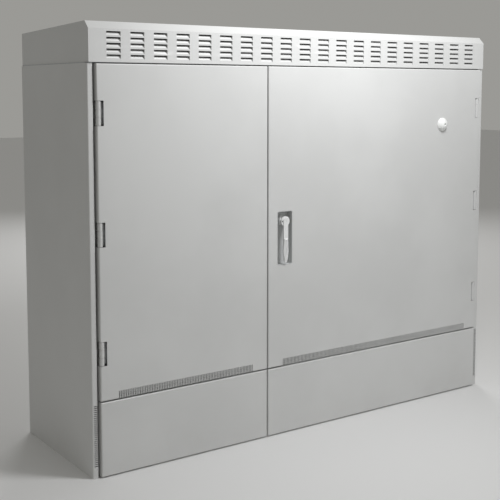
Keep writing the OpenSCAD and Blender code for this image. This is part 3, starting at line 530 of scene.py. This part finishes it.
def lever_head(edges):
    """A round flange round the lever's head, with an eye beside the lever, as a bmesh."""
    low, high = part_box("handle_rotor")
    middle = (low + high) / 2
    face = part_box("handle_lever")[0].y + edges.head_back
    upright = Matrix.Rotation(math.pi / 2, 4, "X")
    rim = Matrix.Translation((middle.x, face, middle.z)) @ upright
    eye = Matrix.Translation((middle.x - edges.eye_shift, face, middle.z)) @ upright
    bm = bmesh.new()
    bmesh.ops.create_circle(bm, segments=HEAD_SEGMENTS, radius=edges.head_r, matrix=rim)
    bmesh.ops.create_circle(bm, segments=HEAD_SEGMENTS, radius=edges.eye_r, matrix=eye)
    bmesh.ops.bridge_loops(bm, edges=bm.edges[:])
    deep = bmesh.ops.extrude_face_region(bm, geom=bm.faces[:], use_keep_orig=True)["geom"]
    corners = [item for item in deep if isinstance(item, bmesh.types.BMVert)]
    bmesh.ops.translate(bm, verts=corners, vec=(0, edges.head_t, 0))
    bmesh.ops.recalc_face_normals(bm, faces=bm.faces)
    return bm


# Steps


class CABINET_OT_covers(bpy.types.Operator):
    """Round and coat the hood, panels and door skins"""

    bl_idname = "cabinet.covers"
    bl_label = "Covers"

    def execute(self, context):
        for node in COVER_NODES:
            dress_node(node, context.scene.cabinet_edges.sheet_edge)
        return {"FINISHED"}


class CABINET_OT_hinges(bpy.types.Operator):
    """Round and coat the hinges and their pins"""

    bl_idname = "cabinet.hinges"
    bl_label = "Hinges"

    def execute(self, context):
        for node in HINGE_NODES:
            dress_node(node, context.scene.cabinet_edges.sheet_edge)
        return {"FINISHED"}


class CABINET_OT_handle(bpy.types.Operator):
    """Round and coat the handle, its pan and the domed plug"""

    bl_idname = "cabinet.handle"
    bl_label = "Handle and plug"

    def execute(self, context):
        for node in HANDLE_NODES:
            dress_node(node, context.scene.cabinet_edges.cast_edge)
        self.add_lever_head(context.scene.cabinet_edges)
        return {"FINISHED"}

    def add_lever_head(self, edges):
        bm = lever_head(edges)
        round_edges(bm, edges.cast_edge)
        add_piece("lever_head", bm, "lever_white", "lever")


class CABINET_OT_lock(bpy.types.Operator):
    """Round and plate the lock, its rods and the slide bolts"""

    bl_idname = "cabinet.lock"
    bl_label = "Lock and bolts"

    def execute(self, context):
        for node in LOCK_NODES:
            dress_node(node, context.scene.cabinet_edges.fine_edge)
        return {"FINISHED"}


class CABINET_OT_inner_parts(bpy.types.Operator):
    """Round and finish the frame and everything inside"""

    bl_idname = "cabinet.inner_parts"
    bl_label = "Inner parts"

    def execute(self, context):
        dressed = COVER_NODES + HINGE_NODES + HANDLE_NODES + LOCK_NODES
        for node in frame["nodes"]:
            if node not in dressed:
                dress_node(node, context.scene.cabinet_edges.sheet_edge)
        return {"FINISHED"}


class CABINET_OT_screws(bpy.types.Operator):
    """Add the screws that hold the inner parts"""

    bl_idname = "cabinet.screws"
    bl_label = "Screws"

    def execute(self, context):
        edges = context.scene.cabinet_edges
        self.add_plate_screws(edges)
        self.add_floor_screws(edges)
        for door in ("left_door", "right_door"):
            low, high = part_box(door + "_liner")
            places = perimeter(low, high, edges.liner_inset, count_x=3, count_z=4)
            screw_group(door + "_liner_screws", door, [(x, high.y, z) for x, z in places], REARWARD)
        low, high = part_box("lock_case")
        places = perimeter(low, high, edges.case_inset, count_x=2, count_z=2)
        screw_group("lock_case_screws", "right_door", [(x, high.y, z) for x, z in places], REARWARD)
        return {"FINISHED"}

    def add_plate_screws(self, edges):
        low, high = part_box("mounting_plate")
        places = perimeter(low, high, edges.plate_inset, count_x=2, count_z=3)
        screw_group("plate_screws", "cabinet", [(x, low.y, z) for x, z in places], FORWARD)
        rails = []
        for low, high in solid_boxes("din_rails"):
            for x in spread(low.x + edges.plate_inset, high.x - edges.plate_inset, count=3):
                rails.append((x, high.y - edges.din_sheet, (low.z + high.z) / 2))
        screw_group("din_rail_screws", "cabinet", rails, FORWARD)
        low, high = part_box("earth_bar")
        count = round((high.x - low.x) / edges.earth_pitch) - 1
        places = [(low.x + (i + 1) * edges.earth_pitch, low.y, (low.z + high.z) / 2) for i in range(count)]
        screw_group("earth_screws", "cabinet", places, FORWARD)

    def add_floor_screws(self, edges):
        places = []
        for node in ("floor_plate_left", "floor_plate_right"):
            low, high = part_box(node)
            for x in spread(low.x + edges.floor_inset, high.x - edges.floor_inset, count=3):
                for y in (low.y + edges.rail_inset, high.y - edges.rail_inset):
                    places.append((x, y, high.z))
        screw_group("floor_screws", "cabinet", places, UPWARD)


# Stage


def area_light(name, place, target, size, energy, colour):
    data = bpy.data.lights.new(name, "AREA")
    data.shape = "DISK"
    data.size = size
    data.energy = energy
    data.color = colour
    light = bpy.data.objects.new(name, data)
    light.location = place
    light.rotation_euler = (Vector(target) - Vector(place)).to_track_quat("-Z", "Y").to_euler()
    bpy.context.scene.collection.objects.link(light)


class CABINET_OT_stage(bpy.types.Operator):
    """Add the floor, the lights and the camera"""

    bl_idname = "cabinet.stage"
    bl_label = "Stage"

    def execute(self, context):
        stage = context.scene.cabinet_stage
        self.add_floor(stage)
        self.add_world(context.scene, stage)
        for light in LIGHTS:
            area_light(**light)
        self.add_camera(context.scene, stage)
        return {"FINISHED"}

    def add_floor(self, stage):
        bm = bmesh.new()
        bmesh.ops.create_grid(bm, x_segments=1, y_segments=1, size=stage.floor_size / 2)
        mesh = bpy.data.meshes.new("floor")
        bm.to_mesh(mesh)
        bm.free()
        draft = MaterialDraft("floor_finish", tuple(stage.floor_colour), stage.floor_roughness)
        mesh.materials.append(draft.material)
        floor = bpy.data.objects.new("floor", mesh)
        bpy.context.scene.collection.objects.link(floor)

    def add_world(self, scene, stage):
        world = bpy.data.worlds.new("studio")
        world.use_nodes = True
        background = world.node_tree.nodes["Background"]
        background.inputs["Color"].default_value = (*stage.world_colour, 1.0)
        background.inputs["Strength"].default_value = stage.world_strength
        scene.world = world
        scene.view_settings.view_transform = "Standard"

    def add_camera(self, scene, stage):
        data = bpy.data.cameras.new("camera")
        data.lens = stage.lens
        data.shift_y = stage.rise
        camera = bpy.data.objects.new("camera", data)
        camera.location = stage.camera_place
        camera.rotation_euler = (math.pi / 2 - stage.camera_tilt, 0.0, -stage.camera_turn)
        scene.collection.objects.link(camera)
        scene.camera = camera


STEPS = (
    CABINET_OT_covers,
    CABINET_OT_hinges,
    CABINET_OT_handle,
    CABINET_OT_lock,
    CABINET_OT_inner_parts,
    CABINET_OT_screws,
    CABINET_OT_stage,
)


class CABINET_PT_panel(bpy.types.Panel):
    """Lists the cabinet's settings and steps"""

    bl_idname = "CABINET_PT_panel"
    bl_label = "Cabinet"
    bl_space_type = "VIEW_3D"
    bl_region_type = "UI"
    bl_category = "Cabinet"

    def draw(self, context):
        for name in SETTINGS:
            settings = getattr(context.scene, name)
            box = self.layout.box()
            for key in settings.bl_rna.properties.keys():
                if key not in ("rna_type", "name"):
                    box.prop(settings, key)
        for step in STEPS:
            self.layout.operator(step.bl_idname)


SETTINGS = {"cabinet_finish": CabinetFinish, "cabinet_edges": CabinetEdges, "cabinet_stage": CabinetStage}
CLASSES = (*SETTINGS.values(), *STEPS, CABINET_PT_panel)


def register():
    for cls in CLASSES:
        bpy.utils.register_class(cls)
    for name, cls in SETTINGS.items():
        setattr(bpy.types.Scene, name, PointerProperty(type=cls))


def unregister():
    for name in SETTINGS:
        delattr(bpy.types.Scene, name)
    for cls in reversed(CLASSES):
        bpy.utils.unregister_class(cls)


def main():
    register()
    for step in STEPS:
        group, name = step.bl_idname.split(".")
        getattr(getattr(bpy.ops, group), name)()


if __name__ == "__main__":
    main()
